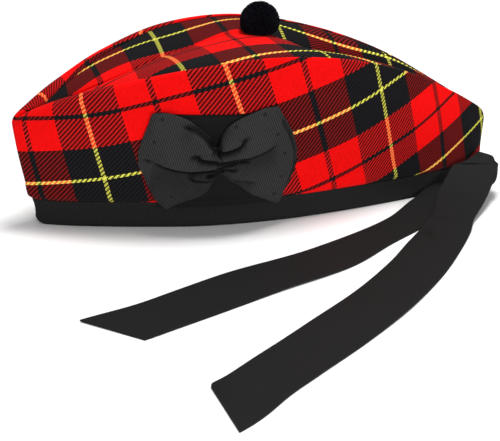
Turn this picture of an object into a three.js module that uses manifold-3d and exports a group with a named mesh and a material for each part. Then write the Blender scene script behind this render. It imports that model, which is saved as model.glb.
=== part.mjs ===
// A glengarry: a wool side cap with a creased lens-shaped crown, a bound rim, a toorie,
// a twisted-ribbon cockade on the wearer's left and two ribbons laid out from the back.
// Millimetres, +Z up. The cap stands on its rim, front towards -X, wearer's left towards -Y.

import * as THREE from 'three';
import { mergeVertices } from 'three/addons/utils/BufferGeometryUtils.js';
import Module from 'manifold-3d';

// Driving sizes
const RIM = { front: -137.2, back: 136 };
const CROWN = { front: -152, back: 145 };
const CLOTH = 2;
const BINDING = 1;
const GAP = 0.3;
const BAND_HEIGHT = 17;
const BAND_FLOOR = 1.2;
const BELLY = 2;
const PUFF_RISE = 5;
const END_ROUNDNESS = 0.4;
const TIP_TURN = 0.06;
const CREASE_SHARPNESS = 2.4;
const RIBBON = 1;

// Cross sections from the front seam to the back seam, evenly spaced in turn angle:
// half width at the rim, half width and height at the crown edge, and the crease's place and depth
const SECTIONS = [
  { rim: 0, top: 0, height: 69, crease: 0, dip: 0 },
  { rim: 4.6, top: 6.5, height: 72.5, crease: -1, dip: 0.4 },
  { rim: 12.2, top: 17.5, height: 82, crease: -4, dip: 2 },
  { rim: 21.5, top: 33, height: 94.2, crease: -5, dip: 4 },
  { rim: 30.4, top: 46, height: 103.8, crease: 11, dip: 6 },
  { rim: 32.3, top: 46.5, height: 106, crease: 14, dip: 2.5 },
  { rim: 28, top: 36, height: 98, crease: 5, dip: 25 },
  { rim: 21, top: 19.5, height: 82.8, crease: 2, dip: 24 },
  { rim: 13, top: 9.5, height: 65.4, crease: 0, dip: 8 },
  { rim: 5, top: 4, height: 52, crease: 0, dip: 0.6 },
  { rim: 0, top: 0, height: 46, crease: 0, dip: 0 },
];

// Mesh fineness
const WALL_STEPS = 36;
const TOP_STEPS_ACROSS = 12;
const HEM_PARTS = [0, 0.5];
const PUFF_PARTS = [0, 0.3, 0.6];
const WALL_PARTS = [0, 0.2, 0.4, 0.6, 0.8, 1];
const RIBBON_STEPS = 48;
const RIBBON_STEPS_ACROSS = 2;

// Toorie: a wool ball with short locks, standing on the crown
const TOORIE = { x: 3, y: 14, z: 109.9, head: 10.6, reach: 12.2, locks: 70 };
const TOORIE_SEAT_DEPTH = 25;
const LOCK = { rootRadius: 3, tipRadius: 1, length: 4.6, sides: 5 };

// Cockade, placed by its centre on the left side panel
const COCKADE = { x: -36.5, z: 43.5 };
const BACKING = { left: -34, right: 32, bottom: -30, top: 32, stepsAcross: 8, stepsUp: 5 };

// The bow from its left end to its right end, by reach from the pinched middle:
// its lower and upper edge, the line of its main fold and its fullness
const BOW = [
  { reach: -45.5, low: -2, high: 8, fold: 3, puff: 0 },
  { reach: -43, low: -7, high: 17, fold: 2, puff: 1.4 },
  { reach: -40, low: -15, high: 26, fold: 2, puff: 2.2 },
  { reach: -38, low: -19, high: 33, fold: 2, puff: 2.6 },
  { reach: -29, low: -30, high: 32.5, fold: 0, puff: 3.4 },
  { reach: -19, low: -25.5, high: 29, fold: -3, puff: 4 },
  { reach: -12, low: -23, high: 23, fold: -3, puff: 4.2 },
  { reach: -6, low: -19, high: 17, fold: -2, puff: 4.4 },
  { reach: 0, low: -8, high: 14, fold: 0, puff: 4.5 },
  { reach: 6, low: -12, high: 24, fold: 4, puff: 4.4 },
  { reach: 13, low: -17, high: 28, fold: 4, puff: 4.2 },
  { reach: 20, low: -23, high: 30, fold: 5, puff: 4 },
  { reach: 28, low: -27, high: 32, fold: 7, puff: 3.6 },
  { reach: 34, low: -30, high: 32, fold: 9, puff: 3.2 },
  { reach: 37, low: -31, high: 27, fold: 10, puff: 2.8 },
  { reach: 41, low: -24, high: 21, fold: 8, puff: 2 },
  { reach: 45, low: -14, high: 13, fold: 4, puff: 1.2 },
  { reach: 47.5, low: -3, high: 4, fold: 0, puff: 0 },
];
const BOW_STEPS = 24;
const BOW_STEPS_UP = 10;
const BOW_EDGE = 1.2;
const FOLD_DEPTH = 2;
const FOLD_WIDTH = 5;

// Ribbon routes from the band to the cut end: middle line, lie of the ribbon's width in plan
// (degrees from +X) and its width there, gathered at the band and cut on the slant at the end.
// Both ribbons share the root, where the lower one rides on the upper one.
const RIBBON_ROOT = [
  { x: 139.2, y: -7.4, z: 9, swing: -62, width: 10 },
  { x: 140, y: -9.4, z: 18, swing: -60, width: 10 },
  { x: 137.6, y: -15.2, z: 18.2, swing: -45, width: 13 },
  { x: 132.6, y: -20.4, z: 17, swing: -18, width: 25.8 },
  { x: 125, y: -30.5, z: 11, swing: -28, width: 29 },
];
const UPPER_RIBBON = [
  { x: 111.4, y: -30.7, z: 5.5, swing: -53, width: 28 },
  { x: 96.4, y: -39.6, z: 2, swing: -50, width: 26 },
  { x: 75, y: -58.2, z: 0.2, swing: -45, width: 24.5 },
  { x: 48, y: -77.2, z: 0, swing: -56, width: 26 },
  { x: 14, y: -99.3, z: 0, swing: -61, width: 34 },
  { x: -36, y: -120.5, z: 0, swing: -65, width: 37.5 },
  { x: -72, y: -138, z: 0, swing: -64, width: 38 },
  { x: -102, y: -152.5, z: 0, swing: -63, width: 38 },
  { x: -126, y: -162.2, z: 0, swing: -48, width: 42.8 },
];
const LOWER_RIBBON = [
  { x: 114.8, y: -43.9, z: 4.8, swing: -40, width: 29.5 },
  { x: 103, y: -61.8, z: 1.2, swing: -33, width: 26 },
  { x: 95, y: -74.7, z: 0.2, swing: -35, width: 28 },
  { x: 78, y: -97.8, z: 0, swing: -34, width: 32 },
  { x: 60.2, y: -122.2, z: 0, swing: -38, width: 33.5 },
  { x: 24, y: -163, z: 0, swing: -45, width: 36.5 },
  { x: -14, y: -198, z: 0, swing: -48, width: 38 },
  { x: -48, y: -227, z: 0, swing: -49, width: 38 },
  { x: -72, y: -248, z: 0, swing: -52, width: 38.5 },
  { x: -90.8, y: -265, z: 0, swing: -88, width: 49.3 },
];
const RIBBON_LIFT = RIBBON + 2 * GAP;
const LANDING = { from: 0.52, to: 0.66 };

const wasm = await Module();
wasm.setup();

// Shape of the cap

// A column of the section table at any turn angle, as a smooth curve through its rows;
// widths pass through zero at the two seams and the other columns level out there
function section(name, turn) {
  const last = SECTIONS.length - 1;
  const place = THREE.MathUtils.clamp((turn / Math.PI) * last, 0, last);
  const row = Math.min(Math.floor(place), last - 1);
  const sign = name === 'rim' || name === 'top' ? -1 : 1;
  const at = (index) => {
    if (index < 0) return sign * SECTIONS[-index][name];
    if (index > last) return sign * SECTIONS[2 * last - index][name];
    return SECTIONS[index][name];
  };
  const [a, b, c, d] = [at(row - 1), at(row), at(row + 1), at(row + 2)];
  const t = place - row;
  return b + 0.5 * t * (c - a + t * (2 * a - 5 * b + 4 * c - d + t * (3 * (b - c) + d - a)));
}

function along(ends, turn) {
  return (ends.front + ends.back) / 2 - ((ends.back - ends.front) / 2) * Math.cos(turn);
}

// A point of the cap's wall, at a height and a depth inside its outer face; side is -1 for the left
function wallPoint(turn, z, inset, side) {
  const rise = z / section('height', turn);
  const x = THREE.MathUtils.lerp(along(RIM, turn), along(CROWN, turn), rise);
  const half = THREE.MathUtils.lerp(section('rim', turn), section('top', turn), rise);
  const lean = Math.hypot(Math.sin(turn), END_ROUNDNESS * Math.cos(turn));
  const out = BELLY * Math.sin(Math.PI * THREE.MathUtils.clamp(rise, 0, 1)) - inset;
  const outX = (-END_ROUNDNESS * Math.cos(turn)) / lean;
  const outY = Math.sin(turn) / lean;
  return new THREE.Vector3(x + out * outX, side * (half + out * outY), z);
}

// The turn angle of the wall point at a given length and height
function turnAt(x, z) {
  let turn = Math.PI / 2;
  for (let pass = 0; pass < 8; pass += 1) {
    const rise = z / section('height', turn);
    const front = THREE.MathUtils.lerp(RIM.front, CROWN.front, rise);
    const back = THREE.MathUtils.lerp(RIM.back, CROWN.back, rise);
    turn = Math.acos((front + back - 2 * x) / (back - front));
  }
  return turn;
}

function smooth(low, high, value) {
  return THREE.MathUtils.smoothstep(value, low, high);
}

// Closed solids

function meshFrom(points, triangles) {
  const geometry = new THREE.BufferGeometry();
  const position = points.flatMap((point) => [point.x, point.y, point.z]);
  geometry.setAttribute('position', new THREE.Float32BufferAttribute(position, 3));
  geometry.setIndex(triangles);
  geometry.computeVertexNormals();
  return geometry;
}

// Two faces of a sheet on the same grid, joined round the border; turned over gives the mirror form
function sheet(stepsAlong, stepsAcross, outer, inner, turnedOver) {
  const points = [];
  for (const face of [outer, inner]) {
    for (let i = 0; i <= stepsAlong; i += 1) {
      for (let j = 0; j <= stepsAcross; j += 1) points.push(face(i / stepsAlong, j / stepsAcross));
    }
  }
  const row = stepsAcross + 1;
  const layer = (stepsAlong + 1) * row;
  const triangles = [];
  const quad = (a, b, c, d) => triangles.push(a, b, c, a, c, d);
  for (let i = 0; i < stepsAlong; i += 1) {
    for (let j = 0; j < stepsAcross; j += 1) {
      const k = i * row + j;
      quad(k, k + row, k + row + 1, k + 1);
      quad(layer + k, layer + k + 1, layer + k + row + 1, layer + k + row);
    }
  }
  for (let i = 0; i < stepsAlong; i += 1) {
    const low = i * row;
    const high = low + stepsAcross;
    quad(low, layer + low, layer + low + row, low + row);
    quad(high, high + row, layer + high + row, layer + high);
  }
  for (let j = 0; j < stepsAcross; j += 1) {
    const end = stepsAlong * row;
    quad(j, j + 1, layer + j + 1, layer + j);
    quad(end + j, layer + end + j, layer + end + j + 1, end + j + 1);
  }
  if (turnedOver) {
    for (let k = 0; k < triangles.length; k += 3) {
      [triangles[k + 1], triangles[k + 2]] = [triangles[k + 2], triangles[k + 1]];
    }
  }
  return meshFrom(points, triangles);
}

function solidFrom(geometry) {
  const bare = geometry.clone();
  bare.deleteAttribute('normal');
  bare.deleteAttribute('uv');
  const merged = mergeVertices(bare, 1e-4);
  const mesh = new wasm.Mesh({
    numProp: 3,
    vertProperties: new Float32Array(merged.attributes.position.array),
    triVerts: new Uint32Array(merged.index.array),
  });
  return new wasm.Manifold(mesh);
}

function geometryFrom(solid) {
  const mesh = solid.getMesh();
  const geometry = new THREE.BufferGeometry();
  geometry.setAttribute('position', new THREE.Float32BufferAttribute(mesh.vertProperties, 3));
  geometry.setIndex(Array.from(mesh.triVerts));
  geometry.computeVertexNormals();
  return geometry;
}

// Side panels: hemmed inside the band, puffed out just above it, up to the crown's edge

function sidePanel(side) {
  const hem = BAND_FLOOR + GAP;
  const puffed = BAND_HEIGHT + PUFF_RISE;
  const stepsUp = HEM_PARTS.length + PUFF_PARTS.length + WALL_PARTS.length - 1;
  const levels = (turn) => {
    const top = section('height', turn) - CLOTH - GAP;
    return [
      ...HEM_PARTS.map((part) => THREE.MathUtils.lerp(hem, BAND_HEIGHT, part)),
      ...PUFF_PARTS.map((part) => THREE.MathUtils.lerp(BAND_HEIGHT, puffed, part)),
      ...WALL_PARTS.map((part) => THREE.MathUtils.lerp(puffed, top, part)),
    ];
  };
  const face = (depth) => (part, up) => {
    const turn = part * Math.PI;
    const z = levels(turn)[Math.round(up * stepsUp)];
    const tucked = (BINDING + GAP) * (1 - smooth(BAND_HEIGHT, puffed, z));
    const point = wallPoint(turn, z, tucked + depth, 1);
    point.y = side * Math.max(point.y, GAP / 2);
    return point;
  };
  return sheet(WALL_STEPS, stepsUp, face(0), face(CLOTH), side > 0);
}

// Crown top: a lens of cloth on the side panels' edges, creased lengthwise

function crownSheet(top, bottom) {
  const face = (depth) => (part, across) => {
    const turn = THREE.MathUtils.lerp(TIP_TURN, Math.PI - TIP_TURN, part);
    const half = section('top', turn);
    const crease = THREE.MathUtils.clamp(section('crease', turn), -half / 2, half / 2);
    const out = 2 * across - 1;
    const y = crease + out * (out < 0 ? half + crease : half - crease);
    const fall = section('dip', turn) * (1 - Math.abs(out)) ** CREASE_SHARPNESS;
    return new THREE.Vector3(along(CROWN, turn), y, section('height', turn) - fall - depth);
  };
  return sheet(WALL_STEPS, TOP_STEPS_ACROSS, face(top), face(bottom), false);
}

function crownTop() {
  return crownSheet(0, CLOTH);
}

// Band: a ribbon folded over the rim, a channel that holds the side panels' hems

function band() {
  const innerLeg = BINDING + GAP + CLOTH + GAP;
  const profile = [
    { inset: 0, z: 0 },
    { inset: 0, z: BAND_HEIGHT },
    { inset: BINDING, z: BAND_HEIGHT },
    { inset: BINDING, z: BAND_FLOOR },
    { inset: innerLeg, z: BAND_FLOOR },
    { inset: innerLeg, z: BAND_HEIGHT },
    { inset: innerLeg + BINDING, z: BAND_HEIGHT },
    { inset: innerLeg + BINDING, z: 0 },
  ];
  const stations = 2 * WALL_STEPS;
  const points = [];
  const triangles = [];
  for (let i = 0; i < stations; i += 1) {
    const left = i <= WALL_STEPS;
    const turn = ((left ? i : stations - i) / WALL_STEPS) * Math.PI;
    for (const { inset, z } of profile) points.push(wallPoint(turn, z, inset, left ? -1 : 1));
  }
  const corners = profile.length;
  for (let i = 0; i < stations; i += 1) {
    const next = (i + 1) % stations;
    for (let j = 0; j < corners; j += 1) {
      const k = (j + 1) % corners;
      const [a, b] = [i * corners + j, next * corners + j];
      const [c, d] = [next * corners + k, i * corners + k];
      triangles.push(a, b, c, a, c, d);
    }
  }
  return meshFrom(points, triangles);
}

// Toorie: locks set evenly over a ball by the golden angle and fused to it, flattened where it
// sits on the crown

function toorie() {
  let ball = solidFrom(new THREE.IcosahedronGeometry(TOORIE.head, 2));
  const goldenAngle = Math.PI * (3 - Math.sqrt(5));
  const up = new THREE.Vector3(0, 1, 0);
  for (let i = 0; i < TOORIE.locks; i += 1) {
    const z = 1 - (2 * i + 1) / TOORIE.locks;
    const ring = Math.sqrt(1 - z * z);
    const out = new THREE.Vector3(Math.cos(i * goldenAngle) * ring, Math.sin(i * goldenAngle) * ring, z);
    const lock = new THREE.CylinderGeometry(LOCK.tipRadius, LOCK.rootRadius, LOCK.length, LOCK.sides);
    lock.applyQuaternion(new THREE.Quaternion().setFromUnitVectors(up, out));
    const middle = out.clone().multiplyScalar(TOORIE.reach - LOCK.length / 2);
    lock.translate(middle.x, middle.y, middle.z);
    ball = ball.add(solidFrom(lock));
  }
  const seat = solidFrom(crownSheet(-GAP, TOORIE_SEAT_DEPTH)).translate(-TOORIE.x, -TOORIE.y, -TOORIE.z);
  return geometryFrom(ball.subtract(seat));
}

// Cockade: a flat backing ribbon and a twisted bow, both laid on the left side panel

function onLeftPanel(x, z, out) {
  return wallPoint(turnAt(x, z), z, -out, -1);
}

function cockadeBacking() {
  const face = (out) => (part, up) => {
    const x = COCKADE.x + THREE.MathUtils.lerp(BACKING.left, BACKING.right, part);
    const z = COCKADE.z + THREE.MathUtils.lerp(BACKING.bottom, BACKING.top, up);
    return onLeftPanel(x, z, out);
  };
  return sheet(BACKING.stepsAcross, BACKING.stepsUp, face(GAP + RIBBON), face(GAP), false);
}

function bowRow(reach) {
  const next = Math.max(1, BOW.findIndex((row) => row.reach >= reach));
  const [from, to] = [BOW[next - 1], BOW[next]];
  const t = (reach - from.reach) / (to.reach - from.reach);
  const mix = (name) => THREE.MathUtils.lerp(from[name], to[name], t);
  return { low: mix('low'), high: mix('high'), fold: mix('fold'), puff: mix('puff') };
}

function cockadeBow() {
  const [leftEnd, rightEnd] = [BOW[0].reach, BOW[BOW.length - 1].reach];
  const seat = GAP + RIBBON + GAP;
  const face = (topSide) => (part, up) => {
    const reach = THREE.MathUtils.lerp(leftEnd, rightEnd, part);
    const { low, high, fold, puff } = bowRow(reach);
    const rise = THREE.MathUtils.lerp(low, high, up);
    const [x, z] = [COCKADE.x + reach, COCKADE.z + rise];
    if (!topSide) return onLeftPanel(x, z, seat);
    const shut = Math.exp(-(((rise - fold) / FOLD_WIDTH) ** 2)) * Math.min(1, puff / FOLD_DEPTH);
    const swell = puff * Math.sqrt(Math.sin(Math.PI * up)) - FOLD_DEPTH * shut * (1 - Math.abs(reach) / rightEnd);
    return onLeftPanel(x, z, seat + BOW_EDGE + Math.max(0, swell));
  };
  return sheet(BOW_STEPS, BOW_STEPS_UP, face(true), face(false), false);
}

// Ribbons: strips that leave the band's back end, arch over and lie on the floor

function ribbon(rows, lift) {
  const line = new THREE.CatmullRomCurve3(rows.map(({ x, y, z }) => new THREE.Vector3(x, y, z)));
  const last = rows.length - 1;
  const face = (depth) => (part, across) => {
    const place = part * last;
    const index = Math.min(Math.floor(place), last - 1);
    const mix = (name) => THREE.MathUtils.lerp(rows[index][name], rows[index + 1][name], place - index);
    const swing = THREE.MathUtils.degToRad(mix('swing'));
    const width = new THREE.Vector3(Math.cos(swing), Math.sin(swing), 0);
    const point = line.getPoint(part);
    const normal = new THREE.Vector3().crossVectors(line.getTangent(part), width).normalize();
    point.addScaledVector(width, mix('width') * (across - 0.5));
    point.z = Math.max(0, point.z);
    return point.addScaledVector(normal, depth + lift * (1 - smooth(LANDING.from, LANDING.to, part)));
  };
  return sheet(RIBBON_STEPS, RIBBON_STEPS_ACROSS, face(RIBBON), face(0), false);
}

// Materials

const tartan = new THREE.MeshStandardMaterial({ color: 0xb01a1c, roughness: 0.9, metalness: 0 });
const blackWool = new THREE.MeshStandardMaterial({ color: 0x121214, roughness: 0.95, metalness: 0 });
const blackBinding = new THREE.MeshStandardMaterial({ color: 0x1d1d1f, roughness: 0.7, metalness: 0 });
const blackRibbon = new THREE.MeshStandardMaterial({ color: 0x242426, roughness: 0.75, metalness: 0 });

// Assembly, set so that the origin is at the bottom centre of the whole object

const glengarry = new THREE.Group();

function addPiece(name, geometry, material) {
  const piece = new THREE.Mesh(geometry, material);
  piece.name = name;
  glengarry.add(piece);
  return piece;
}

addPiece('left_side_panel', sidePanel(-1), tartan);
addPiece('right_side_panel', sidePanel(1), tartan);
addPiece('crown_top', crownTop(), tartan);
addPiece('band', band(), blackBinding);
const toorieBall = addPiece('toorie', toorie(), blackWool);
toorieBall.position.set(TOORIE.x, TOORIE.y, TOORIE.z);
addPiece('cockade_backing', cockadeBacking(), blackRibbon);
addPiece('cockade_bow', cockadeBow(), blackRibbon);
addPiece('upper_ribbon', ribbon([...RIBBON_ROOT, ...UPPER_RIBBON], 0), blackRibbon);
addPiece('lower_ribbon', ribbon([...RIBBON_ROOT, ...LOWER_RIBBON], RIBBON_LIFT), blackRibbon);

glengarry.updateMatrixWorld(true);
const middle = new THREE.Box3().setFromObject(glengarry, true).getCenter(new THREE.Vector3());
glengarry.position.set(-middle.x, -middle.y, 0);

export default glengarry;
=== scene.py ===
"""Looks of a checked wool glengarry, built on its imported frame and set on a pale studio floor."""

import math

import bpy
import numpy as np
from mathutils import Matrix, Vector


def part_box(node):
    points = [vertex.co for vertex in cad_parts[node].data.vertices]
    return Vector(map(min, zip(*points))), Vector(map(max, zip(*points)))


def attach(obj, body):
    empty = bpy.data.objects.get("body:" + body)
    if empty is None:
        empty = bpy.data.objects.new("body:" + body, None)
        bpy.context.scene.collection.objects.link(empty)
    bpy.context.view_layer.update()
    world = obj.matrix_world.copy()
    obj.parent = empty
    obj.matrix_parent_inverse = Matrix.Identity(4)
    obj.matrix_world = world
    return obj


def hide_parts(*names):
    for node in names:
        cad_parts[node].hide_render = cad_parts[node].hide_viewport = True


bl_info = {
    "name": "Glengarry",
    "version": (1, 0, 0),
    "blender": (4, 5, 0),
    "location": "View3D > Sidebar > Glengarry",
    "description": "Builds the cloth, ribbons and toorie of a checked wool glengarry",
    "category": "Object",
}

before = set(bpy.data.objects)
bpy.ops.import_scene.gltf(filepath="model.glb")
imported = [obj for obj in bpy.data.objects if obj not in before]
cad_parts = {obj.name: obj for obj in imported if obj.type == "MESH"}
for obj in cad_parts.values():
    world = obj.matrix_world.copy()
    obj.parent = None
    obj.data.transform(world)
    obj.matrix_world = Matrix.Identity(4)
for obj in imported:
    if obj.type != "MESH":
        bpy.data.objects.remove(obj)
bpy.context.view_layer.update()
MM = 0.001

# The wearer's two sides, by their direction across the cap
LEFT = -1
RIGHT = 1


def table(names, *rows):
    """A short table by column name, its lengths in millimetres."""
    return {name: np.array(values, float) for name, values in zip(names.split(), zip(*rows))}


# Cross sections from the front seam to the back seam, evenly spaced in turn angle: half width
# at the rim and at the crown's edge, height of that edge, and the crease's place and depth
SECTIONS = table(
    "rim top height crease dip",
    (0, 0, 69, 0, 0),
    (4.6, 6.5, 72.5, -1, 0.4),
    (12.2, 17.5, 82, -4, 2),
    (21.5, 33, 94.2, -5, 4),
    (30.4, 46, 103.8, 11, 6),
    (32.3, 46.5, 106, 14, 2.5),
    (28, 36, 98, 5, 25),
    (21, 19.5, 82.8, 2, 24),
    (13, 9.5, 65.4, 0, 8),
    (5, 4, 52, 0, 0.6),
    (0, 0, 46, 0, 0),
)

# Steps of turn in which lengths along the wall are measured, and rounds in which the turn of a
# wall point is found
WALL_STEPS = 721
TURN_ROUNDS = 8

# Roundness of the two ends in plan, the turn at which the crown's tips stop, and how sharply the
# crown dips at its crease
END_ROUNDNESS = 0.4
TIP_TURN = 0.06
CREASE_SHARPNESS = 2.4

# Height of the panels' hem inside the band, and how far the hem and the band curl up off the
# floor at the front seam, with the reach of that curl in turn
HEM_HEIGHT = 1.5
FRONT_LIFT = {"hem": 4, "band": 3, "reach": 0.13}

# The panels' rolled top edge: its turn and its share of the sheet's rows, the crown's lap over
# its end, and the gap that each panel keeps from the cap's middle at the end seams
ROLL_TURN = math.radians(160)
ROLL_SHARE = 0.24
SEAM_LAP = 0.4
SEAM_GAP = 0.15

# Ripples of steamed cloth: share of the height, lengths along and up, and shift
RIPPLES = ((0.5, 19, 31, 0), (0.3, 33, -17, 1.7), (0.2, 11, 13, 0.6))

# How the wool sits at the band: the hem's tuck behind it, the height from the band's upper edge at
# which the wool starts to come free, and its overhang above. Then the height of its ripples, the
# share of the wall that stays calm at both edges, and how far its rows crowd towards the hem.
PANEL = {
    "tuck": 1.3,
    "tuck_start": -0.3,
    "overhang": 1.2,
    "overhang_middle": 4,
    "overhang_reach": 6,
    "ripple": 0.5,
    "calm_edge": 0.15,
    "crowding": 0.4,
}

# How the crown top lies: its least half width, the share of its drop that is left inside and the
# reach of the rest from the edge, its ripples and the calm strip at the edge, and the reach of
# its swell from the near edge and the part of the half width over which the swell comes in
CROWN = {
    "least_half": 0.2,
    "sunk_inside": 0.5,
    "sunk_reach": 6,
    "ripple": 0.5,
    "ripple_along": 1.3,
    "ripple_across": 1.6,
    "calm_edge": 12,
    "swell_reach": 3.5,
    "swell_part": 0.6,
}

# The toorie's middle, the level from there at which its wool is pressed flat on the crown, the
# share of its depth that is left below that level, and the steps of its round core
TOORIE = {"x": 3, "y": 14, "z": 110.4, "flat": -5.8, "squash": 0.15, "core_steps": 4}

# Cut wool ends of the toorie: the turn from each to the next round the ball, how many they are,
# their sides, the seed and the size of their scatter, where they start in the core, how uneven
# their length and bend are, their thickness from root to end in radii of a yarn, the tip's length
# in the same, and a direction that none of them points in
GOLDEN_TURN = math.pi * (3 - math.sqrt(5))
WOOL = {
    "ends": 2800,
    "sides": 4,
    "seed": 7,
    "scatter": 0.05,
    "root": 0.9,
    "uneven": 0.45,
    "taper": (1.0, 0.95, 0.6),
    "tip": 0.5,
    "slant": (0.31, 0.52, 0.79),
}

# Soft roll of the panels' top edges by turn: its radius and how far its crest stands above the
# section table, on the near and the far side, and the crown's swell inside the near edge
ROLL = table(
    "turn near near_rise far far_rise swell",
    (0, 8, 0, 7, 1.6, 0),
    (0.3, 6.5, 0, 6, 1.6, 0),
    (0.6, 5, -0.3, 5, 2.2, 0),
    (1, 2.6, -1.1, 3, 1.7, 0),
    (1.4, 1.3, -0.6, 1.6, 1, 0.8),
    (1.9, 1.2, 0, 0.7, 0.6, 1.7),
    (2.15, 1.2, 0, 0.6, 1.2, 1.7),
    (2.4, 1.2, 0, 0.6, -0.7, 1),
    (2.8, 1.3, 0, 0.7, -2.4, 0),
    (2.95, 2, 0, 1.5, -1.4, 0),
    (3.05, 4, 0, 3.5, -0.6, 0),
    (3.15, 6, 0, 6, 0, 0),
)

# Fold of the crown beside the toorie: its middle, its reach both ways and its height
RIDGE = {"x": 18, "y": 1, "along": 15, "across": 11, "height": 4}

# Height of the band's upper edge on the outside, by turn
BAND_TOP = table("turn height", (0, 15.7), (1.5, 15.7), (2.2, 13.9), (3.15, 13.7))

# How the check lies on a side panel: its upright lines by their place along the panel at the
# rim and 100 mm above it, and its level lines by their height above the rim at several stations
UPRIGHTS = table(
    "line rim top",
    (0, -144, -147),
    (1, -100, -114),
    (2, -50, -73.5),
    (3, 1, -28.5),
    (4, 45, 17),
    (5, 90, 64),
    (6, 128, 104),
    (7, 163, 133),
)
UPRIGHT_SPAN = 100.0
LEVELS = table(
    "station low_yellow low_black yellow high_black",
    (-155, -57, -15, 27, 69),
    (-110, -50, -9, 32, 73.5),
    (-46, -40, 2.5, 45.5, 90.5),
    (8, -27, 15.5, 56.5, 102.5),
    (62, -6, 30.5, 71, 115),
    (100, 11.5, 46, 86, 129),
    (125, 24, 61.5, 98, 139),
    (155, 45, 82, 119, 157),
)
LOWEST_LEVEL = -2

RIGHT_LINE_SHIFT = 0.67

# How the check lies on the crown top: lines across by their place at the far edge, the crease and
# the near edge, and lines along by their place across the cap at several stations. The near
# yellow line, numbered 0, lies fuller where the cloth swells inside the edge, and the far one,
# numbered 2, does so at the front.
CROWN_ACROSS = table(
    "line far middle near",
    (-1, -134, -137, -139),
    (0, -100, -99, -106),
    (1, -60, -59, -57),
    (2, -19, -17, -14),
    (3, 18, 20, 32),
    (4, 49, 55, 64),
    (5, 83, 87, 94),
    (6, 117, 121, 124),
)
CROWN_ALONG = table(
    "station outer_black near_yellow middle_black far_yellow far_black",
    (-150, -116, -74, -32, 20, 62),
    (-117, -110, -68, -25, 15, 57),
    (-100, -103, -61, -17, 17, 59),
    (-59, -92, -50, -6, 24.5, 66.5),
    (-31, -85, -43.5, -3, 31, 73),
    (-3, -78, -36, 1, 37, 78),
    (20, -70, -28.5, 3, 30, 72),
    (35, -68, -26, 4, 24, 66),
    (60, -66, -24, 2, 17, 59),
    (85, -63, -21, 1.5, 13, 55),
    (145, -52, -10, 0, 6, 48),
)
CROWN_FIRST_LINE = -1
NEAR_YELLOW = 0
FAR_YELLOW = 2

# How much fuller the near and the far yellow line lie, the reach of that in lines, and the
# stretch along the cap over which it ends for the far one
FULLER = {"near": 0.47, "far": 0.42, "reach": 0.08, "front": (-100, -70)}

# Section of the folded binding: depth inside the cap's outer face, and height
BAND_PROFILE = table(
    "inset height",
    (0.9, 16.3),
    (0.75, 16.9),
    (0.35, 17),
    (0.05, 16.6),
    (0, 15.5),
    (0, 12),
    (-0.4, 8.5),
    (-1.1, 5),
    (-1.9, 2.4),
    (-2.1, 1),
    (-1.6, 0.2),
    (-0.6, 0),
    (2.8, 0),
    (3.8, 0.35),
    (4.4, 1.2),
    (4.6, 2.6),
    (4.6, 9),
    (4.6, 15.8),
    (4.4, 16.8),
    (3.9, 16.8),
    (3.7, 15.8),
    (3.7, 9),
    (3.6, 1.7),
    (2.3, 1.3),
    (1, 1.7),
    (0.95, 9),
)

# The band's stations round the rim, the deepest inset of its outer leg and of its face, the lean
# of the outer leg, the waves of its face and of its upper edge, where along its height that edge
# begins, the share of the front's curl that the edge loses, and the weave's step to the inner leg
BAND = {
    "stations": 256,
    "outer_leg": 1,
    "face": 0.5,
    "lean": 0.5,
    "wave": 0.18,
    "wave_length": 7,
    "wave_beat": 17,
    "wave_shift": 1,
    "edge_wave": 0.2,
    "edge_length": 12,
    "edge_shift": 0.4,
    "edge_rise": (0.7, 0.9),
    "lift_lost": 0.94,
    "inner_weave": 40,
}

# Cockade: its middle on the left panel, the backing ribbon, and the bow from its left end to
# its right end by reach from the pinched middle, with its lower and upper edge and its fullness
COCKADE = {"x": -36.5, "z": 43.5}
BACKING = {"left": -34, "right": 32, "bottom": -30, "top_left": 32, "top_right": 28.5}
BOW = table(
    "reach low high puff",
    (-45.5, -2, 8, 0),
    (-43, -7, 17, 0.9),
    (-40, -15, 26, 1.4),
    (-38.2, -19, 32, 1.6),
    (-35, -25, 33, 1.8),
    (-31, -29.3, 33, 2.1),
    (-29.3, -30.8, 32.8, 2.2),
    (-27, -29.3, 32.3, 2.3),
    (-19, -25.5, 29, 3),
    (-12, -23, 23, 3.6),
    (-6, -19, 17, 4.2),
    (-3, -13, 10.5, 4.4),
    (-1, -7, 10.5, 4.4),
    (1, -8, 17.5, 4.4),
    (6, -12, 24, 4.2),
    (13, -17, 28, 3.6),
    (20, -23, 30.7, 3),
    (28, -27, 33, 2.4),
    (34, -30, 33, 2),
    (37, -31, 28, 1.8),
    (41, -24, 21.5, 1.4),
    (45, -14, 13, 0.8),
    (47.5, -3, 4, 0),
)

# The backing's face: how far it stands out, its two hems by their distance from its middle, width
# and depth, and the puckers near the bow's pinched middle by height, length and reach
BACKING_FACE = {
    "out": 1.25,
    "middle": 1,
    "hem": 27.5,
    "hem_width": 0.5,
    "hem_depth": 0.35,
    "pucker": 0.12,
    "pucker_length": 2.3,
    "pucker_reach": 9,
}

# The bow's face: its fullness and roundness, how far its edge stands out beside and over the
# backing and where the backing ends, the share of its width that stays calm at both edges, and
# the share of its edge's height that it never falls below
BOW_FACE = {
    "fullness": 1.35,
    "roundness": 0.8,
    "free_edge": 1.1,
    "backed_edge": 2.4,
    "backing_end": (35, 42),
    "calm_edge": 0.06,
    "lowest": 0.8,
}

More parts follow.
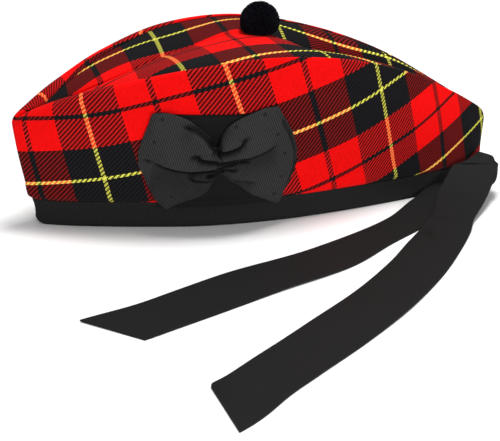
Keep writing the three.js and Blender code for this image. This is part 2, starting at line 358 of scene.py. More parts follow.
# Folds of the bow: the line of the lip by reach and rise, the side that lies on top, the lip's
# height, how far behind the line it swells, how deep and wide the cloth below it sinks, and how
# far a painted soft shade reaches below it. The last one is the inner line of the right rim, where
# the ribbon's doubled edge ends.
UPPER_OVER = 1
LOWER_OVER = -1
LONG_LINE = ((-42, 2), (-38, 3), (-31, 0), (-25, -2), (-17, -3), (-8, -2), (1, -1))
FOLD_COLUMNS = ("line", "over", "lip", "back", "sink", "under", "shade")
FOLD_ROWS = (
    (((-21, 25), (-15, 22), (-10, 18), (-6, 12), (-2, 7)), LOWER_OVER, 3.4, 9, 2, 4, 3),
    (((-16, 6), (-13, 7), (-10, 5), (-4, 4), (1, 3)), UPPER_OVER, 3, 6, 1.8, 3, 4),
    (LONG_LINE, UPPER_OVER, 3.6, 10, 1.6, 4, 24),
    (((-19, -6), (-14, -9), (-8, -10), (-2, -9)), UPPER_OVER, 2.6, 5, 1.4, 3, 3),
    (((-9, -6.5), (-4, -5), (1, -4)), UPPER_OVER, 2.2, 3, 1.6, 2, 3),
    (((-1, 9), (4, 10), (9, 11.5), (12, 13), (15, 15.5)), UPPER_OVER, 3.4, 7, 2, 3.5, 4),
    (((0, 3), (8, 4), (17, 4), (24, 6), (31, 9), (37, 10)), UPPER_OVER, 3.6, 8, 1.6, 4, 12),
    (((2, 1), (6, 1), (10, 2), (20, 1)), UPPER_OVER, 2, 3, 2, 4, 6),
    (((0, -1), (4, -3), (8, -4), (11, -2)), UPPER_OVER, 2, 2.5, 1.2, 2, 3),
    (((10, -12), (17, -13), (23, -15)), UPPER_OVER, 1, 6, 0.8, 5, 6),
    (((37, 22), (42, 12), (45, 2), (45, -6), (42, -17), (38, -25)), LOWER_OVER, 0.7, 12, 0.3, 2, 3),
)
FOLDS = tuple(dict(zip(FOLD_COLUMNS, row)) for row in FOLD_ROWS)

# What the folds share: the part of the line over which a lip rises from its outer end, the stretch
# across the line where it drops, the groove under it, cut into the cloth and darkened with painted
# shade, with the lip that has a full one, and the painted soft shade below the lip with its reach
# past the ends of the line
LIP = {"start": 0.3, "drop": (-0.5, 0.4)}
GROOVE = {"depth": 2, "width": 1, "away": 1, "full_lip": 2}
SOFT_SHADE = {"share": 0.75, "past_end": 6}

# Pockets where folds of the bow begin, sunk into the cloth and darkened with painted shade: middle,
# reach both ways, lean in degrees and depth
POCKETS = table(
    "reach rise long wide lean depth",
    (-18, 23.4, 3.6, 1.1, -25, 1.6),
    (-14.5, 6.2, 2.8, 1.2, 10, 1.5),
    (-40.5, 2.4, 2.4, 0.8, -5, 0.8),
    (14, 14.4, 2.8, 1.2, 30, 1.4),
    (8, 0, 4, 1.2, 5, 1.2),
    (7, -3.5, 1.8, 0.9, 30, 1),
    (-6, -6, 2.6, 0.9, 15, 1),
)

# Stitches that hold the bow down near its outer edge, by reach and rise
STITCHES = table(
    "reach rise",
    (-33, 29),
    (-37, 15),
    (-40, 2),
    (-35, -8),
    (-27, -22),
    (-12, -17),
    (9, 23),
    (26, 29),
    (34, 16),
    (39, 3),
    (37, -12),
    (34, -24),
    (18, -22),
)
# A stitch's dimple: its radius and depth, and how much painted shade darkens it
STITCH = {"radius": 0.9, "depth": 0.9, "shade": 0.8}

# Ribbon routes from the band to the cut end: middle line, lie of the width in plan (degrees
# from +X) and the width there. Both ribbons share the root, the lower riding on the upper.
RIBBON_ROOT = (
    (139.2, -7.4, 9, -62, 10),
    (140, -9.4, 19, -60, 5.5),
    (140, -15.2, 20, -45, 10.5),
    (136.6, -19.2, 18.4, -22, 17),
    (133.2, -20.4, 16.8, -18, 26.4),
    (125, -30.5, 11, -28, 29),
)
UPPER_RIBBON = table(
    "x y z swing width",
    *RIBBON_ROOT,
    (111.4, -30.7, 5.5, -53, 28),
    (96, -39.1, 2, -50, 24.8),
    (75, -58.2, 0.2, -45, 24.5),
    (48, -77.2, 0, -56, 26),
    (14, -99.3, 0, -61, 34),
    (-36, -120.5, 0, -65, 37.5),
    (-72, -138, 0, -64, 38),
    (-102, -152.5, 0, -63, 38),
    (-126, -162.2, 0, -48, 42.8),
)
LOWER_RIBBON = table(
    "x y z swing width",
    *RIBBON_ROOT,
    (114.8, -43.9, 4.8, -40, 29.5),
    (103.5, -62.1, 1.2, -33, 24.8),
    (95, -74.7, 0.2, -35, 28),
    (78, -97.8, 0, -34, 32),
    (60.2, -122.2, 0, -38, 33.5),
    (24, -163, 0, -45, 36.5),
    (-14, -198, 0, -48, 38),
    (-48, -227, 0, -49, 38),
    (-72, -248, 0, -52, 38.5),
    (-90.8, -265, 0, -88, 49.3),
)

# The lower ribbon's lift over the upper one at the root, and steps in which a route is measured
LOWER_LIFT = 1.6
ROUTE_STEPS = 400

# Soft dents of the lower ribbon, the first of them its fold at the root: middle along and across
# it, reach both ways, lean in degrees and depth, and how much painted shade darkens them
LOWER_DENTS = table(
    "run across long wide lean depth",
    (25.4, -5, 9, 0.9, 90, 0.8),
    (84, -8, 6, 1, 100, 0.5),
    (107, -9, 7, 3, 40, 0.4),
)
NO_DENTS = {}
DENT_SHADE = 0.6

# Parts of the route over which the lower ribbon loses its lift and the waves begin, and the waves
# on the floor: height, length, slant across the ribbon, and a longer beat with its shift
LANDING = (0.5, 0.6)
WAVES_START = (0.55, 0.75)
RIBBON_WAVE = {"height": 0.35, "length": 21, "slant": 2, "beat": 55, "shift": 0.8}

# Steps along and across each sheet, and the angles up to which edges are shaded smooth
GRIDS = {
    "panel": (300, 100),
    "crown": (280, 96),
    "backing": (120, 100),
    "bow": (260, 160),
    "ribbon": (260, 20),
}
CLOTH_EDGE = math.radians(50)
WOOL_EDGE = math.radians(60)

# Part of a thread by which the lines' middle is set off, so that odd and even lines come out whole
LINE_SETTING = 0.25

# Look of the wool cloth: threads in which the twill repeats and the step among them below which
# the warp lies on top, the gap at a warp's edges, noise scales of fibres and of soft clouds of
# tone, the shade by each of these from its darkest to its lightest, and the relief. The shade by
# the yarn's height is painted shade, darker between threads; the fibres and clouds vary the tone.
TWILL = {
    "repeat": 4.0,
    "warp_over": 1.5,
    "gap": 0.1,
    "fibre": 1000.0,
    "fibre_detail": 3.0,
    "cloud": 60.0,
    "yarn_shade": (0.8, 1.04),
    "fibre_shade": (0.7, 1.3),
    "cloud_shade": (0.93, 1.07),
    "fibre_relief": 0.6,
    "relief": 0.35,
    "depth": 0.0003,
}

# Ribs of each black ribbon: pitch in millimetres, lean as a share of the height, contrast of the
# painted shade that darkens each rib towards its edges, relief and gloss
RIBS = {
    "ribbed_binding": {"pitch": 1.4, "lean": 0.0, "contrast": 1.3, "relief": 0.4, "gloss": 0.14},
    "cockade_ribbon": {"pitch": 1.35, "lean": 0.35, "contrast": 1.4, "relief": 0.6, "gloss": 0.14},
    "backing_ribbon": {"pitch": 0.8, "lean": 0.0, "contrast": 0.2, "relief": 0.4, "gloss": 0.12},
    "loose_ribbon": {"pitch": 0.7, "lean": 0.0, "contrast": 0.3, "relief": 0.4, "gloss": 0.12},
}

# What the ribbons share: the cross threads' pitch as a share of the ribs', the ribs' mean height,
# noise scales, shades from darkest to lightest (painted shade between the cross threads, and tone
# by fibres and clouds), what adds to the relief and to the roughness, and how much the painted
# shade of folds, dents and stitches darkens
RIBBON_LOOK = {
    "cross_pitch": 0.55,
    "rib_mean": 0.667,
    "fibre": 1800.0,
    "cloud": 45.0,
    "cross_shade": (0.9, 1.02),
    "fibre_shade": (0.82, 1.18),
    "cloud_shade": (0.92, 1.08),
    "cross_relief": 0.3,
    "fibre_relief": 0.4,
    "depth": 0.0002,
    "rough": 0.62,
    "fibre_rough": 0.2,
    "rib_polish": 0.08,
    "painted_fold_shade": 0.8,
}

# Look of the cut wool: noise scales of fibres and locks, the shade by each of them with the
# darkest that a lock gets, and the relief
WOOL_LOOK = {
    "fibre": 2500.0,
    "lock": 700.0,
    "fibre_shade": (0.6, 1.4),
    "lock_shade": (-1.5, 3.5),
    "darkest": 0.1,
    "relief": 0.3,
    "depth": 0.0002,
}

# The floor's size in metres and its barely uneven tone, the lights by place and size in metres,
# and the camera's sensor in millimetres
FLOOR = {"size": 8, "cloud": 1.5, "shade": (0.99, 1.01)}
LIGHTS = {"key": ((0.18, 0.16, 1.45), 0.45), "fill": ((0.2, -1.45, 0.28), 0.5)}
SENSOR_WIDTH = 36

# Places of a Mix node's two colours among its inputs and of their blend among its outputs
MIX_FIRST = 6
MIX_SECOND = 7
MIX_RESULT = 2


# Sizes and colours that a user may change


def length(name, description, millimetres):
    """A length property with its default in millimetres."""
    return bpy.props.FloatProperty(
        name=name, description=description, default=millimetres * MM, unit="LENGTH", precision=5
    )


def colour(name, description, red, green, blue):
    """A colour property with its default in linear light."""
    return bpy.props.FloatVectorProperty(
        name=name, description=description, default=(red, green, blue), subtype="COLOR", min=0, max=1
    )


def count(name, description, value):
    """A whole number property."""
    return bpy.props.IntProperty(name=name, description=description, default=value)


def number(name, description, value):
    """A plain number property."""
    return bpy.props.FloatProperty(name=name, description=description, default=value)


def angle(name, description, degrees):
    """An angle property with its default in degrees."""
    return bpy.props.FloatProperty(
        name=name, description=description, default=math.radians(degrees), subtype="ANGLE"
    )


class GlengarrySizes(bpy.types.PropertyGroup):
    """Driving sizes of the cap and its trimmings."""

    rim_front: length("Rim front", "Front end of the rim along the cap", -137.2)
    rim_back: length("Rim back", "Back end of the rim along the cap", 136)
    crown_front: length("Crown front", "Front end of the crown's edge", -152)
    crown_back: length("Crown back", "Back end of the crown's edge", 145)
    cloth: length("Cloth", "Thickness of the wool cloth", 2)
    belly: length("Belly", "Swell of the side panels", 2)
    puff_rise: length("Puff rise", "Height over which the wool swells out above the band", 2.5)
    ribbon: length("Ribbon", "Thickness of the ribbons", 0.9)
    toorie_radius: length("Toorie radius", "Reach of the longest wool ends", 12.2)
    toorie_core: length("Toorie core", "Radius of the tight middle of the toorie", 9.6)
    yarn: length("Yarn", "Radius of one cut wool end", 0.42)


class GlengarryTartan(bpy.types.PropertyGroup):
    """Thread count and colours of the check."""

    warp: count("Warp", "Upright threads from a black line to the next yellow line", 50)
    weft: count("Weft", "Level threads from a black line to the next yellow line", 65)
    upright_black: count("Upright black", "Threads in a thin black upright line", 4)
    upright_yellow: count("Upright yellow", "Threads in a thin yellow upright line", 3)
    level_black: count("Level black", "Threads in a thin black level line", 4)
    level_yellow: count("Level yellow", "Threads in a thin yellow level line", 3)
    red: colour("Red", "Red yarn crossing red", 0.83, 0.003, 0.003)
    # The black warp is set lighter than the black weft: a painted highlight on the twill's floats
    black_warp: colour("Black warp", "Black warp crossing black", 0.012, 0.0117, 0.013)
    black_weft: colour("Black weft", "Black weft crossing black", 0.0042, 0.0042, 0.0052)
    yellow_warp: colour("Yellow warp", "Yellow warp crossing black", 0.62, 0.6, 0.09)
    yellow_weft: colour("Yellow weft", "Yellow weft crossing black", 0.82, 0.8, 0.11)
    orange: colour("Orange", "Yellow warp crossing red", 0.98, 0.28, 0.07)
    cream: colour("Cream", "Yellow weft crossing red", 0.98, 0.68, 0.12)
    lit_red_warp: colour("Lit red warp", "Red warp crossing yellow", 0.8, 0.14, 0.04)
    lit_red_weft: colour("Lit red weft", "Red weft crossing yellow", 0.75, 0.05, 0.02)
    lit_black: colour("Lit black", "Black yarn crossing yellow", 0.06, 0.06, 0.012)
    shaded_red_warp: colour("Shaded red warp", "Red warp crossing black", 0.2, 0.009, 0.009)
    shaded_red_weft: colour("Shaded red weft", "Red weft crossing black", 0.54, 0.01, 0.01)
    tinged_black_warp: colour("Tinged black warp", "Black warp crossing red", 0.02, 0.001, 0.001)
    tinged_black_weft: colour("Tinged black weft", "Black weft crossing red", 0.016, 0.002, 0.002)


class GlengarryBlacks(bpy.types.PropertyGroup):
    """Colours of the black trimmings."""

    ribbon: colour("Ribbon", "Loose ribbons", 0.0079, 0.0085, 0.0087)
    # The bow's black is set lighter than the other black ribbons: painted light on the cockade
    cockade: colour("Cockade", "Cockade bow", 0.0225, 0.0225, 0.0228)
    # The backing's black is set darker than the other black ribbons: painted shade under the bow
    backing: colour("Backing", "Cockade backing", 0.0036, 0.0036, 0.0038)
    binding: colour("Binding", "Binding of the rim", 0.007, 0.007, 0.0071)
    wool: colour("Wool", "Wool of the toorie", 0.0046, 0.0043, 0.0076)


class GlengarryStage(bpy.types.PropertyGroup):
    """Camera, floor and light."""

    distance: length("Distance", "Camera's distance from the point it looks at", 1201.6)
    azimuth: angle("Azimuth", "Camera's turn round the cap", -15.08)
    elevation: angle("Elevation", "Camera's height above the floor", 22)
    aim_x: length("Aim along", "Point on the floor that the camera looks at, along the cap", -14.93)
    aim_y: length("Aim across", "Point on the floor that the camera looks at, across the cap", -30.14)
    lens: number("Lens", "Focal length in millimetres on a 36 mm sensor", 144)
    sky: number("Sky", "Strength of the even light from all round", 0.4)
    key: number("Key", "Power of the large light overhead, in watts", 18.5)
    fill: number("Fill", "Power of the low light behind the camera, in watts", 12.8)
    floor: colour("Floor", "Pale floor", 0.97, 0.97, 0.97)


# Curves and surfaces


def mix(start, end, part):
    """Part of the way from start to end."""
    return start + (end - start) * part


def smoothstep(low, high, value):
    """0 below low, 1 above high, and a smooth rise between."""
    part = np.clip((value - low) / (high - low), 0, 1)
    return part * part * (3 - 2 * part)


def within(part, edge):
    """1 in the middle of a part from 0 to 1, and a smooth fall to 0 over the edge at both ends."""
    return smoothstep(0, edge, part) * (1 - smoothstep(1 - edge, 1, part))


def bell(value, reach):
    """1 at zero, and a smooth fall over a reach on both sides."""
    return np.exp(-((value / reach) ** 2))


def wave(place, span, shift=0.0):
    """A wave along a place, between -1 and 1."""
    return np.sin(place / span + shift)


def lengths_along(points):
    """Length walked along a line of points, at each of them."""
    steps = np.linalg.norm(np.diff(points, axis=0), axis=1)
    return np.concatenate(([0], np.cumsum(steps)))


def even_slopes(stations, values):
    """Slopes that keep a curve between its rows, level at each high and low row."""
    steps = np.diff(values) / np.diff(stations)
    before, after = steps[:-1], steps[1:]
    same_way = before * after > 0
    inner = np.where(same_way, 2 * before * after / np.where(same_way, before + after, 1), 0)
    return np.concatenate(([steps[0]], inner, [steps[-1]]))


def smooth_through(stations, values, at, slopes=None):
    """A smooth curve through the rows of a table, read at many places."""
    if slopes is None:
        slopes = np.gradient(values, stations)
    row = np.clip(np.searchsorted(stations, at) - 1, 0, len(stations) - 2)
    step = stations[row + 1] - stations[row]
    part = np.clip((at - stations[row]) / step, 0, 1)
    start, end = values[row], values[row + 1]
    lead, trail = slopes[row] * step, slopes[row + 1] * step
    second = 3 * (end - start) - 2 * lead - trail
    third = 2 * (start - end) + lead + trail
    return start + part * (lead + part * (second + part * third))


def column(rows, name, at, even=False):
    """A column of a table as a smooth curve over the table's first column."""
    stations = next(iter(rows.values()))
    slopes = even_slopes(stations, rows[name]) if even else None
    return smooth_through(stations, rows[name], at, slopes)


def lines_at(rows, station):
    """Where each line of a check lies at a station, from the columns after the table's first."""
    return [column(rows, name, station) for name in list(rows)[1:]]


def line_number(value, lines, first):
    """Which line of a set a value lies at, with parts between; lines are given in rising order."""
    found = np.full(np.shape(value), float(first))
    last = len(lines) - 2
    for index in range(len(lines) - 1):
        part = (value - lines[index]) / (lines[index + 1] - lines[index])
        low = -np.inf if index == 0 else 0
        high = np.inf if index == last else 1
        found += np.clip(part, low, high)
    return found


def section(name, turn):
    """A column of the section table at any turn; widths pass through zero at the two seams."""
    rows = SECTIONS[name]
    sign = -1 if name in ("rim", "top") else 1
    padded = np.concatenate(([sign * rows[1]], rows, [sign * rows[-2]]))
    stations = np.arange(-1, len(rows) + 1) * math.pi / (len(rows) - 1)
    return smooth_through(stations, padded, turn)


def along(ends, turn):
    """Place along the cap at a turn, between a front and a back end."""
    return (ends[0] + ends[1]) / 2 - (ends[1] - ends[0]) / 2 * np.cos(turn)


def roll_column(near, far, turn, side):
    """A value of the roll table, from its near or its far column by side."""
    return np.where(side == LEFT, column(ROLL, near, turn), column(ROLL, far, turn))


class CapShape:
    """The cap's surfaces as formulas in millimetres, front towards -X and left towards -Y."""

    def __init__(self, sizes):
        self.rim = (sizes.rim_front / MM, sizes.rim_back / MM)
        self.crown = (sizes.crown_front / MM, sizes.crown_back / MM)
        self.belly = sizes.belly / MM
        left_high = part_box("left_side_panel")[1]
        right_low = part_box("right_side_panel")[0]
        crown_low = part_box("crown_top")[0]
        shift_x = crown_low.x / MM - along(self.crown, TIP_TURN)
        shift_y = (left_high.y + right_low.y) / 2 / MM
        self.shift = np.array([shift_x, shift_y, 0])
        self.turns = np.linspace(0, math.pi, WALL_STEPS)
        walked = lengths_along(self.wall(self.turns, section("height", self.turns) / 2))
        self.stations = walked - walked[len(walked) // 2]

    def to_frame(self, points):
        """The cap's own points as the frame holds them, in metres."""
        return (points + self.shift) * MM

    def wall(self, turn, z, out=0.0, side=LEFT):
        """Points of the outer wall at a turn and a height, standing out by a distance."""
        rise = z / section("height", turn)
        x = mix(along(self.rim, turn), along(self.crown, turn), rise)
        half = mix(section("rim", turn), section("top", turn), rise)
        lean = np.hypot(np.sin(turn), END_ROUNDNESS * np.cos(turn))
        swell = self.belly * np.sin(math.pi * np.clip(rise, 0, 1)) + out
        x = x - swell * END_ROUNDNESS * np.cos(turn) / lean
        y = side * (half + swell * np.sin(turn) / lean)
        return np.stack(np.broadcast_arrays(x, y, z), axis=-1)

    def turn_at(self, x, z):
        """The turn of the wall point at a place along the cap and a height."""
        turn = np.full(np.shape(x), math.pi / 2)
        for _ in range(TURN_ROUNDS):
            rise = z / section("height", turn)
            front = mix(self.rim[0], self.crown[0], rise)
            back = mix(self.rim[1], self.crown[1], rise)
            turn = np.arccos(np.clip((front + back - 2 * x) / (back - front), -1, 1))
        return turn

    def on_left(self, x, z, out):
        """Points over the left panel, standing out from it by a distance."""
        return self.wall(self.turn_at(x, z), z, out)

    def station(self, turn):
        """Length along the panel from its middle, at half height."""
        return np.interp(turn, self.turns, self.stations)

    def roll_radius(self, turn, side):
        """Radius of the soft roll at a panel's top edge, largest at the front."""
        return roll_column("near", "far", turn, side)

    def crest(self, turn, side):
        """Height of a panel's rolled top edge."""
        return section("height", turn) + roll_column("near_rise", "far_rise", turn, side)

    def roll_end(self, turn, side):
        """Distance in from the wall and the height at which the roll meets the crown top."""
        radius = self.roll_radius(turn, side)
        inset = radius * (1 - math.cos(ROLL_TURN))
        return inset, self.crest(turn, side) - radius * (1 - math.sin(ROLL_TURN))

    def band_top(self, turn):
        """Height of the band's upper edge on the outside."""
        return column(BAND_TOP, "height", turn)


def front_lift(turn, amount):
    """How far the rim curls up off the floor at the front seam."""
    return amount * bell(turn, FRONT_LIFT["reach"])


def side_check(station, up):
    """The check's coordinates on a side panel: uprights counted along and levels counted up."""
    share = up / UPRIGHT_SPAN
    uprights = [mix(rim, top, share) for rim, top in zip(UPRIGHTS["rim"], UPRIGHTS["top"])]
    upright = line_number(station, uprights, UPRIGHTS["line"][0])
    level = line_number(up, lines_at(LEVELS, station), LOWEST_LEVEL)
    return np.stack([upright, level], axis=1)


def fuller_line(levels, line, share):
    """Level coordinates with the threads of one line made fuller by a share."""
    off = levels - line
    return levels - share * off * bell(off, FULLER["reach"])


def crown_check(x, y, far_share):
    """The check's coordinates on the crown top."""
    near_part = np.clip(2 * far_share, 0, 1)
    far_part = np.clip(2 * far_share - 1, 0, 1)
    places = zip(CROWN_ACROSS["near"], CROWN_ACROSS["middle"], CROWN_ACROSS["far"])
    across = [mix(mix(near, middle, near_part), far, far_part) for near, middle, far in places]
    levels = line_number(y, lines_at(CROWN_ALONG, x), CROWN_FIRST_LINE)
    levels = fuller_line(levels, NEAR_YELLOW, FULLER["near"])
    at_front = 1 - smoothstep(*FULLER["front"], x)
    levels = fuller_line(levels, FAR_YELLOW, FULLER["far"] * at_front)
    return np.stack([line_number(x, across, CROWN_ACROSS["line"][0]), levels], axis=1)


def ripple(first, second):
    """A gentle unevenness of steamed cloth, between about -1 and 1."""
    total = 0
    for share, first_length, second_length, shift in RIPPLES:
        total = total + share * np.sin(first / first_length + second / second_length + shift)
    return total


# Meshes


def deselect():
    """Leaves nothing selected, so that an operator acts on the new piece alone."""
    bpy.ops.object.select_all(action="DESELECT")


def named(name):
    """The piece just made, with its name on the object and on its mesh."""
    piece = bpy.context.object
    piece.name = name
    piece.data.name = name
    return piece


def points_of(piece):
    """A piece's points, a row for each."""
    flat = np.empty(len(piece.data.vertices) * 3)
    piece.data.vertices.foreach_get("co", flat)
    return flat.reshape(-1, 3)


def move_points(piece, points):
    """Puts a piece's points where the rows say."""
    piece.data.vertices.foreach_set("co", points.ravel())
    piece.data.update()


def cloth_sheet(shape, name, grid, thickness, place):
    """A sheet of cloth. place(along, up) gives its points on the cap, their weave coordinates and
    how much painted shade of folds they get, or None for a sheet without folds."""
    deselect()
    bpy.ops.mesh.primitive_grid_add(x_subdivisions=grid[0], y_subdivisions=grid[1], size=1)
    piece = named(name)
    part, up = np.clip(points_of(piece)[:, :2].T + 0.5, 0, 1)
    points, weave, shade = place(part, up)
    move_points(piece, shape.to_frame(points))
    set_weave(piece, weave)
    if shade is not None:
        set_painted_shade(piece, shade)
    thicken(piece, thickness)
    return piece


def set_weave(piece, weave):
    """Writes each point's weave coordinates to the piece's UV map."""
    mesh = piece.data
    corners = np.empty(len(mesh.loops), np.int32)
    mesh.loops.foreach_get("vertex_index", corners)
    layer = mesh.uv_layers.active
    layer.name = "weave"
    layer.data.foreach_set("uv", weave[corners].astype(np.float32).ravel())
    mesh.update()


def set_painted_shade(piece, shade):
    """Writes how much painted shade of folds each point of a ribbon gets, to its crease attribute."""
    crease = piece.data.attributes.new("crease", "FLOAT", "POINT")
    crease.data.foreach_set("value", shade.astype(np.float32))


def thicken(piece, thickness):
    """Gives a sheet its thickness behind its face."""
    solid = piece.modifiers.new("thickness", "SOLIDIFY")
    solid.thickness = thickness
    solid.offset = -1
    solid.use_quality_normals = True
    bpy.ops.object.modifier_apply(modifier=solid.name)
    bpy.ops.object.shade_smooth_by_angle(angle=CLOTH_EDGE)


def settle(piece, node, material):
    """Gives a finished piece its material and its place in the frame."""
    piece.data.materials.clear()
    piece.data.materials.append(material)
    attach(piece, "root")
    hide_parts(node)


# Shader sums


class Wire:
    """A shader socket that takes part in Python sums, each of which adds a Math node."""

    def __init__(self, tree, socket=None):
        self.tree = tree
        self.socket = socket

    def node(self, kind, settings=None, values=None, output=0):
        """Adds a node, sets it up, feeds its sockets and gives one of its outputs."""
        made = self.tree.nodes.new(kind)
        for name, value in (settings or {}).items():
            if name == "stops":
                fill_ramp(made.color_ramp, value)
            else:
                setattr(made, name, value)
        for name, value in (values or {}).items():
            if isinstance(value, Wire):
                self.tree.links.new(value.socket, made.inputs[name])
            else:
                made.inputs[name].default_value = value
        return Wire(self.tree, made.outputs[output])

    def math(self, operation, *others):
        """A Math node on this value and others."""
        return self.node("ShaderNodeMath", {"operation": operation}, dict(enumerate((self, *others))))

    def __add__(self, other):
        return self.math("ADD", other)

    def __sub__(self, other):
        return self.math("SUBTRACT", other)

    def __rsub__(self, other):
        return self.node("ShaderNodeMath", {"operation": "SUBTRACT"}, {0: other, 1: self})

    def __mul__(self, other):
        return self.math("MULTIPLY", other)

    def __truediv__(self, other):
        return self.math("DIVIDE", other)

    __radd__ = __add__
    __rmul__ = __mul__

    def blend(self, first, second):
        """A colour between two, by this value."""
        return self.node(
            "ShaderNodeMix",
            {"data_type": "RGBA"},
            {"Factor": self, MIX_FIRST: first, MIX_SECOND: second},
            output=MIX_RESULT,
        )

    def scaled(self, factor):
        """This colour made lighter or darker by a value."""
        return self.node(
            "ShaderNodeVectorMath", {"operation": "SCALE"}, {0: self, "Scale": factor}
        )


def fill_ramp(ramp, stops):
    """Sets a colour ramp to sharp bands, each from its stop to the next."""
    ramp.interpolation = "CONSTANT"
    while len(ramp.elements) > 1:
        ramp.elements.remove(ramp.elements[-1])
    for index, (place, shade) in enumerate(stops):
        element = ramp.elements[0] if index == 0 else ramp.elements.new(place)
        element.position = place
        element.color = (*shade, 1)


def new_material(name):
    """An empty material with its output and shader, and a wire to start sums from."""
    material = bpy.data.materials.get(name)
    if material is not None:
        return material, None, None
    material = bpy.data.materials.new(name)
    material.use_nodes = True
    tree = material.node_tree
    tree.nodes.clear()
    output = tree.nodes.new("ShaderNodeOutputMaterial")
    shader = tree.nodes.new("ShaderNodeBsdfPrincipled")
    tree.links.new(shader.outputs["BSDF"], output.inputs["Surface"])
    return material, shader, Wire(tree)


def feed(start, shader, links, constants):
    """Links the varying values and sets the constant ones on a shader."""
    for name, wire in links.items():
        start.tree.links.new(wire.socket, shader.inputs[name])
    for name, value in constants.items():
        shader.inputs[name].default_value = value


def weave_axes(start):
    """The two weave coordinates of a piece."""
    spot = start.node("ShaderNodeUVMap", {"uv_map": "weave"})
    return [start.node("ShaderNodeSeparateXYZ", values={0: spot}, output=axis) for axis in "XY"]


def fine_noise(start, scale, detail=2.0):
    """Noise on the piece's own coordinates, about 0 to 1."""
    spot = start.node("ShaderNodeTexCoord", output="Object")
    values = {"Vector": spot, "Scale": scale, "Detail": detail, "Roughness": 0.6}
    return start.node("ShaderNodeTexNoise", values=values)


def plain_tone(start, base):
    """A plain colour."""
    tone = start.node("ShaderNodeRGB")
    tone.socket.default_value = (*base, 1)
    return tone


def bump(start, look, height):
    """Fine relief from a height, with the look's strength and depth."""
    values = {"Strength": look["relief"], "Distance": look["depth"], "Height": height}
    return start.node("ShaderNodeBump", values=values)


def hump(part):
    """1 in the middle of a thread and 0 at its two edges, for a part from 0 to 1."""
    return 4 * part * (1 - part)


def line_stops(black_line, yellow_line, threads):
    """Where the thin black line, the red, the black and the yellow line start in a half sett."""
    return (0, black_line / 2 / threads, 0.5, 1 - yellow_line / 2 / threads)


def tartan_material(look):
    """Two-and-two twill in a red and black check with thin black and yellow lines."""
    material, shader, start = new_material("checked_wool")
    if shader is None:
        return material
    along_cloth, up_cloth = weave_axes(start)
    warp_place = along_cloth * float(look.warp)
    weft_place = up_cloth * float(look.weft)
    warp_thread = warp_place.math("FLOOR")
    weft_thread = weft_place.math("FLOOR")
    warp_band = ((warp_thread + LINE_SETTING) / look.warp).math("PINGPONG", 1.0)
    weft_band = ((weft_thread + LINE_SETTING) / look.weft + 1.0).math("PINGPONG", 1.0)
    warp_stops = line_stops(look.upright_black, look.upright_yellow, look.warp)
    weft_stops = line_stops(look.level_black, look.level_yellow, look.weft)

    def warp(black, red, yellow):
        """The colour of the warp by its place in the sett."""
        return sett_colour(start, warp_band, warp_stops, (black, red, black, yellow))

    def weft(black, red, yellow):
        """The colour of the weft by its place in the sett."""
        return sett_colour(start, weft_band, weft_stops, (black, red, black, yellow))

    on, off = (1, 1, 1), (0, 0, 0)
    warp_colour = weft(off, on, off).blend(
        warp(look.black_warp, look.shaded_red_warp, look.yellow_warp),
        warp(look.tinged_black_warp, look.red, look.orange),
    )
    weft_colour = warp(off, on, off).blend(
        weft(look.black_weft, look.shaded_red_weft, look.yellow_weft),
        weft(look.tinged_black_weft, look.red, look.cream),
    )
    warp_colour = weft(off, off, on).blend(
        warp_colour, warp(look.lit_black, look.lit_red_warp, look.yellow_warp)
    )
    weft_colour = warp(off, off, on).blend(
        weft_colour, weft(look.lit_black, look.lit_red_weft, look.yellow_weft)
    )
    step = (warp_thread - weft_thread).math("FLOORED_MODULO", TWILL["repeat"])
    warp_on_top = step.math("LESS_THAN", TWILL["warp_over"])
    warp_round = hump(warp_place - warp_thread)
    weft_round = hump(weft_place - weft_thread)
    warp_shows = warp_on_top * warp_round.math("GREATER_THAN", TWILL["gap"])
    yarn = warp_shows.blend(weft_colour, warp_colour)
    height = warp_shows * warp_round + (1 - warp_shows) * weft_round
    fibre = fine_noise(start, TWILL["fibre"], TWILL["fibre_detail"])
    cloud = fine_noise(start, TWILL["cloud"])
    # Painted shade: each yarn darker towards its edges and lighter on its float, with tone from fibres
    # and clouds
    shade = mix(*TWILL["yarn_shade"], height) * mix(*TWILL["fibre_shade"], fibre)
    shade = shade * mix(*TWILL["cloud_shade"], cloud)
    relief = bump(start, TWILL, height + TWILL["fibre_relief"] * fibre)
    feed(
        start,
        shader,
        {"Base Color": yarn.scaled(shade), "Normal": relief},
        {"Roughness": 0.92, "Specular IOR Level": 0.06, "Sheen Weight": 0.02, "Sheen Roughness": 0.4},
    )
    return material


def sett_colour(start, band, stops, shades):
    """The colour of a yarn by its place in a half sett."""
    bands = tuple((stop, tuple(shade)) for stop, shade in zip(stops, shades))
    return start.node("ShaderNodeValToRGB", {"stops": bands}, {0: band})


